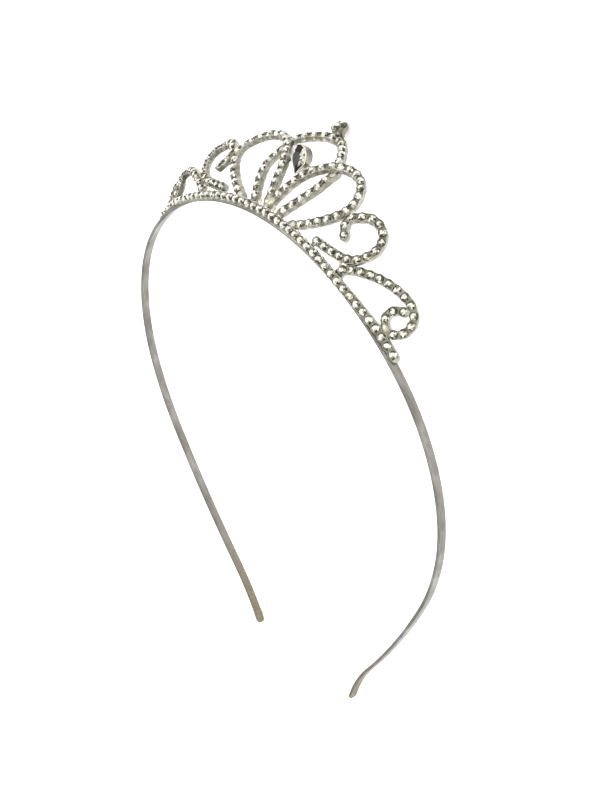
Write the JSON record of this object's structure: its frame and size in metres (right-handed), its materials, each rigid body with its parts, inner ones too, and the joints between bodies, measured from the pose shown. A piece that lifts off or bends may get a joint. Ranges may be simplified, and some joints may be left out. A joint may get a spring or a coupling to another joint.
{
  "type": "mini crown headband",
  "caption": "Narrow metal headband with a small leaning openwork crown of stone-set channels, worn over the top of the head.",
  "frame": {"origin": "middle of the bounding box on the surface that the headband lies on", "axes": "+Z up from that surface, +Y from the tips to the crown's top stone, +X to the side that is on the right with +Z towards the viewer and +Y up"},
  "size_m": [0.1308, 0.1592, 0.0255],
  "materials": {
    "silver": "polished silver plate, slightly warm, dulled at the solder joints and tips",
    "crystal": "clear faceted glass with a foiled back",
    "smoke": "clear faceted glass that reads dark in the table, with a foiled back"
  },
  "bodies": {
    "root": {"metal_frame": "silver", "base_stones": "crystal", "arch_stones": "crystal", "petal_stones_left": "crystal", "petal_stones_right": "crystal", "vein_stones_left": "crystal", "vein_stones_right": "crystal", "scroll_stones_left": "crystal", "scroll_stones_right": "crystal", "paisley_stones_left": "crystal", "paisley_stones_right": "crystal", "pear_stone": "smoke", "top_stone": "crystal"}
  },
  "joints": []
}
